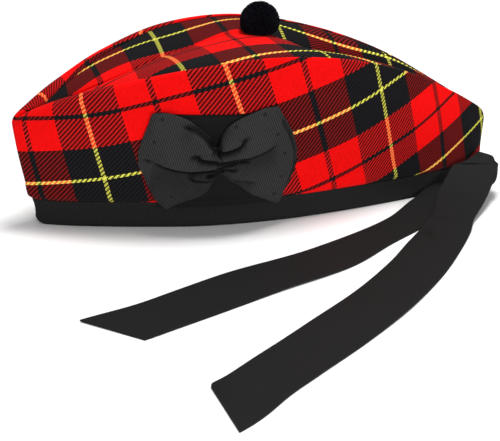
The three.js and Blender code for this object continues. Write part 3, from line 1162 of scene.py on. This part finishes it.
def ribbed_material(name, base):
    """Black ribbon with fine ribs, with painted shade between its ribs and in its creases."""
    material, shader, start = new_material(name)
    if shader is None:
        return material
    look = {**RIBBON_LOOK, **RIBS[name]}
    first, second = weave_axes(start)
    ribs = hump(((first + second * look["lean"]) / look["pitch"]).math("FRACT"))
    crossing = hump((second / (look["pitch"] * look["cross_pitch"])).math("FRACT"))
    fibre = fine_noise(start, look["fibre"])
    cloud = fine_noise(start, look["cloud"])
    # Painted shade of folds, dents and stitches, read from the piece's crease attribute
    crease = start.node("ShaderNodeAttribute", {"attribute_name": "crease"}, output="Fac")
    # Painted shade: each rib darker towards its edges, and darker between the cross threads
    shade = 1 + look["contrast"] * (ribs - look["rib_mean"])
    shade = shade * mix(*look["cross_shade"], crossing)
    shade = shade * mix(*look["fibre_shade"], fibre) * mix(*look["cloud_shade"], cloud)
    shade = shade * (1 - look["painted_fold_shade"] * crease)
    height = ribs + look["cross_relief"] * crossing + look["fibre_relief"] * fibre
    rough = look["rough"] + look["fibre_rough"] * fibre - look["rib_polish"] * ribs
    tone = plain_tone(start, base).scaled(shade)
    feed(
        start,
        shader,
        {"Base Color": tone, "Roughness": rough, "Normal": bump(start, look, height)},
        {"Specular IOR Level": look["gloss"]},
    )
    return material


def wool_material(base):
    """Cut black wool, dark and matt."""
    material, shader, start = new_material("cut_wool")
    if shader is None:
        return material
    fibre = fine_noise(start, WOOL_LOOK["fibre"])
    lock = fine_noise(start, WOOL_LOOK["lock"])
    lock_shade = mix(*WOOL_LOOK["lock_shade"], lock).math("MAXIMUM", WOOL_LOOK["darkest"])
    shade = mix(*WOOL_LOOK["fibre_shade"], fibre) * lock_shade
    feed(
        start,
        shader,
        {"Base Color": plain_tone(start, base).scaled(shade), "Normal": bump(start, WOOL_LOOK, fibre)},
        {"Roughness": 0.95, "Specular IOR Level": 0.1},
    )
    return material


def floor_material(base):
    """Smooth pale studio floor with a barely uneven tone."""
    material, shader, start = new_material("studio_floor")
    if shader is None:
        return material
    shade = mix(*FLOOR["shade"], fine_noise(start, FLOOR["cloud"]))
    feed(
        start,
        shader,
        {"Base Color": plain_tone(start, base).scaled(shade)},
        {"Roughness": 0.8, "Specular IOR Level": 0.2},
    )
    return material


# Pieces


class GLENGARRY_OT_stage(bpy.types.Operator):
    """Sets the camera, the pale floor and the soft light"""

    bl_idname = "glengarry.stage"
    bl_label = "Stage"

    def execute(self, context):
        stage = context.scene.glengarry_stage
        shape = CapShape(context.scene.glengarry_sizes)
        aim = Vector(shape.to_frame(np.array([stage.aim_x / MM, stage.aim_y / MM, 0])))
        flat = math.cos(stage.elevation)
        back = Vector(
            (
                math.sin(stage.azimuth) * flat,
                -math.cos(stage.azimuth) * flat,
                math.sin(stage.elevation),
            )
        )
        deselect()
        bpy.ops.object.camera_add(location=aim + back * stage.distance)
        camera = context.object
        camera.rotation_euler = (-back).to_track_quat("-Z", "Y").to_euler()
        camera.data.lens = stage.lens
        camera.data.sensor_width = SENSOR_WIDTH
        context.scene.camera = camera

        deselect()
        bpy.ops.mesh.primitive_plane_add(size=FLOOR["size"])
        floor = context.object
        floor.name = "floor"
        floor.data.materials.append(floor_material(stage.floor))

        world = bpy.data.worlds.new("studio")
        world.use_nodes = True
        background = world.node_tree.nodes["Background"]
        background.inputs["Color"].default_value = (1, 1, 1, 1)
        background.inputs["Strength"].default_value = stage.sky
        context.scene.world = world
        for name, power in (("key", stage.key), ("fill", stage.fill)):
            add_light(name, power, aim)
        context.scene.view_settings.view_transform = "Standard"
        return {"FINISHED"}


def add_light(name, power, aim):
    """A square soft light that faces the cap."""
    place, size = LIGHTS[name]
    deselect()
    bpy.ops.object.light_add(type="AREA", location=place)
    light = bpy.context.object
    light.name = name
    light.data.size = size
    light.data.energy = power
    light.rotation_euler = (aim - light.location).to_track_quat("-Z", "Y").to_euler()


class GLENGARRY_OT_side_panels(bpy.types.Operator):
    """Makes the two wool sides, tucked into the band and rolled in at the crown seam"""

    bl_idname = "glengarry.side_panels"
    bl_label = "Side panels"

    def execute(self, context):
        sizes = context.scene.glengarry_sizes
        shape = CapShape(sizes)
        material = tartan_material(context.scene.glengarry_tartan)
        for side, node in ((LEFT, "left_side_panel"), (RIGHT, "right_side_panel")):
            piece = side_panel(shape, sizes, side, node + "_cloth")
            settle(piece, node, material)
        return {"FINISHED"}


def side_panel(shape, sizes, side, name):
    """One side panel as a sheet with the cloth's thickness."""

    def place(part, up):
        turn = math.pi * (part if side == LEFT else 1 - part)
        radius = shape.roll_radius(turn, side)
        shoulder = shape.crest(turn, side) - radius
        hem = HEM_HEIGHT + front_lift(turn, FRONT_LIFT["hem"])
        wall_part = np.clip(up / (1 - ROLL_SHARE), 0, 1)
        roll = ROLL_TURN * np.clip((up - 1 + ROLL_SHARE) / ROLL_SHARE, 0, 1)
        z = mix(hem, shoulder, mix(wall_part, wall_part**2, PANEL["crowding"]))
        station = shape.station(turn)
        over_band = z - shape.band_top(turn)
        free = smoothstep(PANEL["tuck_start"], sizes.puff_rise / MM, over_band)
        from_middle = over_band - PANEL["overhang_middle"]
        overhang = PANEL["overhang"] * bell(from_middle, PANEL["overhang_reach"])
        calm = within(wall_part, PANEL["calm_edge"]) * np.sin(turn)
        uneven = PANEL["ripple"] * ripple(station, z) * calm
        out = overhang * free + uneven - PANEL["tuck"] * (1 - free)
        wall = shape.wall(turn, z, out, side)
        foot = shape.wall(turn, np.zeros_like(turn), 0, side)
        climbed = np.linalg.norm(wall - foot, axis=1) + radius * roll
        points = shape.wall(turn, z, out - radius * (1 - np.cos(roll)), side)
        points[:, 2] = z + radius * np.sin(roll)
        weave = side_check(station, climbed)
        if side == RIGHT:
            weave[:, 0] = -(weave[:, 0] + RIGHT_LINE_SHIFT)
        return points, weave, None

    piece = cloth_sheet(shape, name, GRIDS["panel"], sizes.cloth, place)
    keep_to_side(piece, shape, side)
    return piece


def keep_to_side(piece, shape, side):
    """Stops a panel's inner face from passing the cap's middle at the two end seams."""
    points = points_of(piece)
    middle = shape.shift[1] * MM
    points[:, 1] = middle + side * np.maximum(side * (points[:, 1] - middle), SEAM_GAP * MM)
    move_points(piece, points)


class GLENGARRY_OT_crown_top(bpy.types.Operator):
    """Makes the creased wool top, rolled down into the seam with the side panels"""

    bl_idname = "glengarry.crown_top"
    bl_label = "Crown top"

    def execute(self, context):
        sizes = context.scene.glengarry_sizes
        shape = CapShape(sizes)

        def place(part, across):
            turn = mix(TIP_TURN, math.pi - TIP_TURN, part)
            out = 2 * across - 1
            side = np.where(out < 0, LEFT, RIGHT)
            height = section("height", turn)
            inset, edge_height = shape.roll_end(turn, side)
            edge = shape.wall(turn, height, SEAM_LAP - inset, RIGHT)
            x = edge[:, 0]
            half = np.maximum(edge[:, 1], CROWN["least_half"])
            crease = np.clip(section("crease", turn), -half / 2, half / 2)
            y = crease + out * np.where(out < 0, half + crease, half - crease)
            fall = section("dip", turn) * (1 - np.abs(out)) ** CREASE_SHARPNESS
            from_edge = half - np.abs(y)
            drop = height - edge_height + SEAM_LAP
            sunk = drop * mix(CROWN["sunk_inside"], 1, np.exp(-from_edge / CROWN["sunk_reach"]))
            ripples = ripple(x * CROWN["ripple_along"], y * CROWN["ripple_across"])
            uneven = CROWN["ripple"] * ripples * smoothstep(0, CROWN["calm_edge"], from_edge)
            swell = column(ROLL, "swell", turn) * (1 - np.exp(-from_edge / CROWN["swell_reach"]))
            near = smoothstep(0, CROWN["swell_part"], -out)
            ridge = bell(x - RIDGE["x"], RIDGE["along"]) * bell(y - RIDGE["y"], RIDGE["across"])
            z = height - fall - sunk + uneven + swell * near + RIDGE["height"] * ridge
            return np.stack([x, y, z], axis=1), crown_check(x, y, across), None

        piece = cloth_sheet(shape, "crown_top_cloth", GRIDS["crown"], sizes.cloth, place)
        material = tartan_material(context.scene.glengarry_tartan)
        settle(piece, "crown_top", material)
        return {"FINISHED"}


class GLENGARRY_OT_band(bpy.types.Operator):
    """Makes the ribbed binding folded over the rim"""

    bl_idname = "glengarry.band"
    bl_label = "Band"

    def execute(self, context):
        shape = CapShape(context.scene.glengarry_sizes)
        stations = BAND["stations"]
        corners = len(BAND_PROFILE["inset"])
        deselect()
        bpy.ops.mesh.primitive_torus_add(major_segments=stations, minor_segments=corners)
        piece = named("band_binding")
        if len(piece.data.vertices) != stations * corners:
            raise RuntimeError("the band's ring has another number of points than its section")
        index = np.arange(stations * corners)
        round_part = (index // corners) / stations
        corner = index % corners
        left = round_part <= 0.5
        turn = 2 * math.pi * np.where(left, round_part, 1 - round_part)
        side = np.where(left, LEFT, RIGHT)
        inset = BAND_PROFILE["inset"][corner]
        outer_leg = inset <= BAND["outer_leg"]
        top = BAND_PROFILE["height"].max()
        z = BAND_PROFILE["height"][corner] * np.where(outer_leg, shape.band_top(turn) / top, 1)
        walked = shape.station(turn) * side
        share = z / top
        beat = wave(walked, BAND["wave_beat"], BAND["wave_shift"])
        wavy = BAND["wave"] * wave(walked, BAND["wave_length"]) * beat * share * np.sin(turn)
        points = shape.wall(turn, z, wavy - inset - BAND["lean"] * share * outer_leg, side)
        edge_wave = BAND["edge_wave"] * wave(walked, BAND["edge_length"], BAND["edge_shift"])
        points[:, 2] += edge_wave * smoothstep(*BAND["edge_rise"], share)
        points[:, 2] += front_lift(turn, FRONT_LIFT["band"]) * (1 - BAND["lift_lost"] * share)
        points[:, 2] = np.maximum(points[:, 2], 0)
        move_points(piece, shape.to_frame(points))
        leg = np.where(inset < BAND["face"], 0, BAND["inner_weave"])
        set_weave(piece, np.stack([walked, z + leg], axis=1))
        bpy.ops.object.mode_set(mode="EDIT")
        bpy.ops.mesh.select_all(action="SELECT")
        bpy.ops.mesh.normals_make_consistent(inside=False)
        bpy.ops.object.mode_set(mode="OBJECT")
        bpy.ops.object.shade_smooth_by_angle(angle=CLOTH_EDGE)
        material = ribbed_material("ribbed_binding", context.scene.glengarry_blacks.binding)
        settle(piece, "band", material)
        return {"FINISHED"}


class GLENGARRY_OT_toorie(bpy.types.Operator):
    """Makes the pompom of cut wool ends on a tight core"""

    bl_idname = "glengarry.toorie"
    bl_label = "Toorie"

    def execute(self, context):
        sizes = context.scene.glengarry_sizes
        shape = CapShape(sizes)
        centre = Vector(shape.to_frame(np.array([TOORIE["x"], TOORIE["y"], TOORIE["z"]])))
        deselect()
        bpy.ops.mesh.primitive_ico_sphere_add(
            subdivisions=TOORIE["core_steps"], radius=sizes.toorie_core, location=centre
        )
        core = named("toorie_wool")
        bpy.ops.object.transform_apply(location=True, rotation=True, scale=True)
        ends = bpy.data.objects.new("wool_ends", wool_ends(np.array(centre), sizes))
        context.scene.collection.objects.link(ends)
        ends.select_set(True)
        bpy.ops.object.join()
        flatten_seat(core, centre.z + TOORIE["flat"] * MM)
        bpy.ops.object.shade_smooth_by_angle(angle=WOOL_EDGE)
        settle(core, "toorie", wool_material(context.scene.glengarry_blacks.wool))
        return {"FINISHED"}


def flatten_seat(piece, level):
    """Presses what lies below a level up against it, where the wool sits on the crown."""
    points = points_of(piece)
    below = np.minimum(points[:, 2] - level, 0)
    points[:, 2] -= below * (1 - TOORIE["squash"])
    move_points(piece, points)


def wool_ends(centre, sizes):
    """Short tapered wool ends all over a ball, as one mesh."""
    ends, sides, taper = WOOL["ends"], WOOL["sides"], WOOL["taper"]
    uneven = WOOL["uneven"] * MM
    random = np.random.default_rng(WOOL["seed"])
    index = np.arange(ends)
    z = 1 - (2 * index + 1) / ends
    ring = np.sqrt(1 - z * z)
    spin = index * GOLDEN_TURN
    out = np.stack([np.cos(spin) * ring, np.sin(spin) * ring, z], axis=1)
    out += random.normal(0, WOOL["scatter"], out.shape)
    out /= np.linalg.norm(out, axis=1, keepdims=True)
    across = np.cross(out, WOOL["slant"])
    across /= np.linalg.norm(across, axis=1, keepdims=True)
    third = np.cross(out, across)
    start = sizes.toorie_core * WOOL["root"]
    reach = sizes.toorie_radius - np.abs(random.normal(0, uneven, ends))
    bend = random.normal(0, uneven, (ends, 2))
    lean = across * bend[:, :1] + third * bend[:, 1:]
    points = []
    for level, share in zip(np.linspace(0, 1, len(taper)), taper):
        middle = centre + out * mix(start, reach, level)[:, None] + lean * level**2
        for corner in range(sides):
            spot = 2 * math.pi * corner / sides
            aside = math.cos(spot) * across + math.sin(spot) * third
            points.append(middle + sizes.yarn * share * aside)
    tip = reach + sizes.yarn * WOOL["tip"]
    points.append(centre + out * tip[:, None] + lean)
    stacked = np.stack(points, axis=1)
    each = stacked.shape[1]
    top = (len(taper) - 1) * sides
    faces = []
    for low in range(0, top, sides):
        high = low + sides
        for corner in range(sides):
            after = (corner + 1) % sides
            faces.append((low + corner, low + after, high + after, high + corner))
    tips = [(top + corner, top + (corner + 1) % sides, each - 1) for corner in range(sides)]
    shifts = index[:, None, None] * each
    quads = (np.array(faces)[None] + shifts).reshape(-1, 4).tolist()
    triangles = (np.array(tips)[None] + shifts).reshape(-1, 3).tolist()
    mesh = bpy.data.meshes.new("wool_ends")
    mesh.from_pydata(stacked.reshape(-1, 3).tolist(), [], quads + triangles)
    return mesh


class GLENGARRY_OT_cockade(bpy.types.Operator):
    """Makes the cockade: a flat backing ribbon and the twisted bow sewn over it"""

    bl_idname = "glengarry.cockade"
    bl_label = "Cockade"

    def execute(self, context):
        sizes = context.scene.glengarry_sizes
        blacks = context.scene.glengarry_blacks
        shape = CapShape(sizes)

        def backing_place(part, up):
            reach = mix(BACKING["left"], BACKING["right"], part)
            top = mix(BACKING["top_left"], BACKING["top_right"], part)
            rise = mix(BACKING["bottom"], top, up)
            out = backing_height(reach, rise)
            return (*on_cockade(shape, reach, rise, out), None)

        backing = cloth_sheet(
            shape, "cockade_backing_ribbon", GRIDS["backing"], sizes.ribbon, backing_place
        )
        material = ribbed_material("backing_ribbon", blacks.backing)
        settle(backing, "cockade_backing", material)

        def bow_place(part, up):
            reach = mix(BOW["reach"][0], BOW["reach"][-1], part)
            low = column(BOW, "low", reach, even=True)
            high = column(BOW, "high", reach, even=True)
            rise = mix(low, high, up)
            out, shade = bow_height(reach, rise, up)
            return (*on_cockade(shape, reach, rise, out), shade)

        bow = cloth_sheet(shape, "cockade_bow_ribbon", GRIDS["bow"], sizes.ribbon, bow_place)
        material = ribbed_material("cockade_ribbon", blacks.cockade)
        settle(bow, "cockade_bow", material)
        return {"FINISHED"}


def on_cockade(shape, reach, rise, out):
    """Points by reach and rise from the cockade's middle, and their weave coordinates."""
    points = shape.on_left(COCKADE["x"] + reach, COCKADE["z"] + rise, out)
    return points, np.stack([reach, rise], axis=1)


def backing_height(reach, rise):
    """How far the backing's face stands out from the panel."""
    face = BACKING_FACE
    from_hem = np.abs(rise - face["middle"]) - face["hem"]
    hem = face["hem_depth"] * bell(from_hem, face["hem_width"])
    pucker = face["pucker"] * wave(reach, face["pucker_length"]) * bell(reach, face["pucker_reach"])
    return face["out"] - hem + pucker


def bow_height(reach, rise, up):
    """How far the bow's face stands out from the panel, and how much painted shade each point gets."""
    face = BOW_FACE
    over_backing = 1 - smoothstep(*face["backing_end"], np.abs(reach))
    edge = mix(face["free_edge"], face["backed_edge"], over_backing)
    arch = np.clip(np.sin(math.pi * up), 0, 1) ** face["roundness"]
    height = edge + face["fullness"] * column(BOW, "puff", reach) * arch
    inside = within(up, face["calm_edge"])
    # Grooves, pockets and stitches are cut into the face and also darkened with painted shade
    raised, sunk, groove, shade = np.zeros((4, len(reach)))
    for fold in FOLDS:
        lip, trough, soft_painted_shade = fold_height(fold, reach, rise)
        raised = np.maximum(raised, lip)
        sunk = np.minimum(sunk, lip)
        groove = np.maximum(groove, inside * trough * min(1, fold["lip"] / GROOVE["full_lip"]))
        shade = np.maximum(shade, soft_painted_shade)
    height = height + inside * (raised + sunk) - GROOVE["depth"] * groove
    for dent, depth in dents(POCKETS, reach, rise):
        height = height - depth * dent
        groove = np.maximum(groove, dent)
    for spot_reach, spot_rise in zip(STITCHES["reach"], STITCHES["rise"]):
        dent = bell(np.hypot(reach - spot_reach, rise - spot_rise), STITCH["radius"])
        height = height - STITCH["depth"] * dent
        groove = np.maximum(groove, STITCH["shade"] * dent)
    return np.maximum(height, edge * face["lowest"]), np.maximum(groove, shade)


def dents(rows, first, second):
    """For each row of a table of soft long dents, its share at each point, up to 1, and its depth."""
    for middle, beside, long, wide, lean, depth in zip(*rows.values()):
        turn = math.radians(lean)
        ahead = (first - middle) * math.cos(turn) + (second - beside) * math.sin(turn)
        aside = (second - beside) * math.cos(turn) - (first - middle) * math.sin(turn)
        yield bell(ahead, long) * bell(aside, wide), depth


def fold_height(fold, reach, rise):
    """The lip of one fold, a swell on the side on top with a sharp drop, its groove and its painted
    shade.
    """
    line = np.array(fold["line"], float)
    steps = np.diff(line, axis=0)
    lengths = np.linalg.norm(steps, axis=1)
    walked = lengths_along(line)
    nearest = np.full(np.shape(reach), np.inf)
    signed, place, past_end = np.zeros((3, len(reach)))
    for start, step, size, before in zip(line[:-1], steps, lengths, walked[:-1]):
        from_start = (reach - start[0], rise - start[1])
        free_part = (from_start[0] * step[0] + from_start[1] * step[1]) / size**2
        part = np.clip(free_part, 0, 1)
        gap = np.hypot(from_start[0] - part * step[0], from_start[1] - part * step[1])
        above = np.sign(step[0] * from_start[1] - step[1] * from_start[0])
        closer = gap < nearest
        nearest = np.where(closer, gap, nearest)
        signed = np.where(closer, gap * above * fold["over"], signed)
        place = np.where(closer, (before + part * size) / walked[-1], place)
        past_end = np.where(closer, (free_part - part) * size, past_end)
    from_outer_end = place if abs(line[-1, 0]) < abs(line[0, 0]) else 1 - place
    strength = smoothstep(0, LIP["start"], from_outer_end)
    behind = np.maximum(signed, 0)
    below = np.minimum(signed, 0)
    on_top = smoothstep(*LIP["drop"], signed)
    swell = fold["lip"] * bell(behind, fold["back"]) * on_top
    sag = fold["sink"] * bell(below, fold["under"]) * (1 - on_top)
    trough = bell(signed + GROOVE["away"], GROOVE["width"])
    # Painted soft shade below the lip, fading past the ends of the line
    soft_painted_shade = SOFT_SHADE["share"] * bell(below, fold["shade"]) * (1 - on_top)
    soft_painted_shade = soft_painted_shade * bell(past_end, SOFT_SHADE["past_end"])
    return strength * (swell - sag), strength * trough, strength * soft_painted_shade


class GLENGARRY_OT_ribbons(bpy.types.Operator):
    """Makes the two ribbons that arch from the back of the band and lie on the floor"""

    bl_idname = "glengarry.ribbons"
    bl_label = "Ribbons"

    def execute(self, context):
        sizes = context.scene.glengarry_sizes
        shape = CapShape(sizes)
        material = ribbed_material("loose_ribbon", context.scene.glengarry_blacks.ribbon)
        for node, rows, lift, dent_rows in (
            ("upper_ribbon", UPPER_RIBBON, 0.0, NO_DENTS),
            ("lower_ribbon", LOWER_RIBBON, LOWER_LIFT, LOWER_DENTS),
        ):
            piece, run = ribbon_strip(shape, sizes, node + "_cloth", rows, lift, dent_rows)
            settle(piece, node, material)
            round(run * MM, 3)
        return {"FINISHED"}


def ribbon_strip(shape, sizes, name, rows, lift, dent_rows):
    """One ribbon along its route, and the route's length in millimetres."""
    stations = np.arange(len(rows["x"]), dtype=float)
    fine = np.linspace(0, stations[-1], ROUTE_STEPS)

    def curve(axis):
        """One coordinate of the route at every fine step."""
        return smooth_through(stations, rows[axis], fine, even_slopes(stations, rows[axis]))

    route = np.stack([curve(axis) for axis in "xyz"], axis=1)
    walked = lengths_along(route)
    heading = np.gradient(route, fine, axis=0)

    def place(part, across):
        at = part * stations[-1]
        middle = np.stack([np.interp(at, fine, values) for values in route.T], axis=1)
        ahead = np.stack([np.interp(at, fine, values) for values in heading.T], axis=1)
        swing = np.radians(smooth_through(stations, rows["swing"], at))
        crossways = np.stack([np.cos(swing), np.sin(swing), np.zeros_like(swing)], axis=1)
        normal = np.cross(ahead, crossways)
        normal /= np.linalg.norm(normal, axis=1, keepdims=True)
        run = np.interp(at, fine, walked)
        offset = across - 0.5
        aside = smooth_through(stations, rows["width"], at) * offset
        points = middle + crossways * aside[:, None]
        points[:, 2] = np.maximum(points[:, 2], 0)
        waves = wave(run, RIBBON_WAVE["length"], RIBBON_WAVE["slant"] * offset)
        waves = 1 + waves * wave(run, RIBBON_WAVE["beat"], RIBBON_WAVE["shift"])
        raised = lift * (1 - smoothstep(*LANDING, part)) + sizes.ribbon / MM
        raised = raised + RIBBON_WAVE["height"] * waves * smoothstep(*WAVES_START, part)
        # Painted shade in the dents, which also press the ribbon in
        shade = np.zeros_like(run)
        for dent, depth in dents(dent_rows, run, aside):
            raised = raised - depth * dent
            shade = np.maximum(shade, DENT_SHADE * dent)
        points = points + normal * raised[:, None]
        return points, np.stack([run, aside], axis=1), shade

    return cloth_sheet(shape, name, GRIDS["ribbon"], sizes.ribbon, place), walked[-1]


class GLENGARRY_PT_pieces(bpy.types.Panel):
    """Lists the pieces of the glengarry"""

    bl_idname = "GLENGARRY_PT_pieces"
    bl_label = "Glengarry"
    bl_space_type = "VIEW_3D"
    bl_region_type = "UI"
    bl_category = "Glengarry"

    def draw(self, context):
        for step in STEPS:
            self.layout.operator("glengarry." + step)


STEPS = ("stage", "side_panels", "crown_top", "band", "toorie", "cockade", "ribbons")
GROUPS = {
    "glengarry_sizes": GlengarrySizes,
    "glengarry_tartan": GlengarryTartan,
    "glengarry_blacks": GlengarryBlacks,
    "glengarry_stage": GlengarryStage,
}
CLASSES = (
    *GROUPS.values(),
    GLENGARRY_OT_stage,
    GLENGARRY_OT_side_panels,
    GLENGARRY_OT_crown_top,
    GLENGARRY_OT_band,
    GLENGARRY_OT_toorie,
    GLENGARRY_OT_cockade,
    GLENGARRY_OT_ribbons,
    GLENGARRY_PT_pieces,
)


def register():
    """Adds the classes and the scene's settings."""
    for cls in CLASSES:
        bpy.utils.register_class(cls)
    for name, group in GROUPS.items():
        setattr(bpy.types.Scene, name, bpy.props.PointerProperty(type=group))


def unregister():
    """Takes the settings and the classes away again."""
    for name in GROUPS:
        delattr(bpy.types.Scene, name)
    for cls in reversed(CLASSES):
        bpy.utils.unregister_class(cls)


def main():
    """Builds every piece in order."""
    register()
    for step in STEPS:
        getattr(bpy.ops.glengarry, step)()


if __name__ == "__main__":
    main()
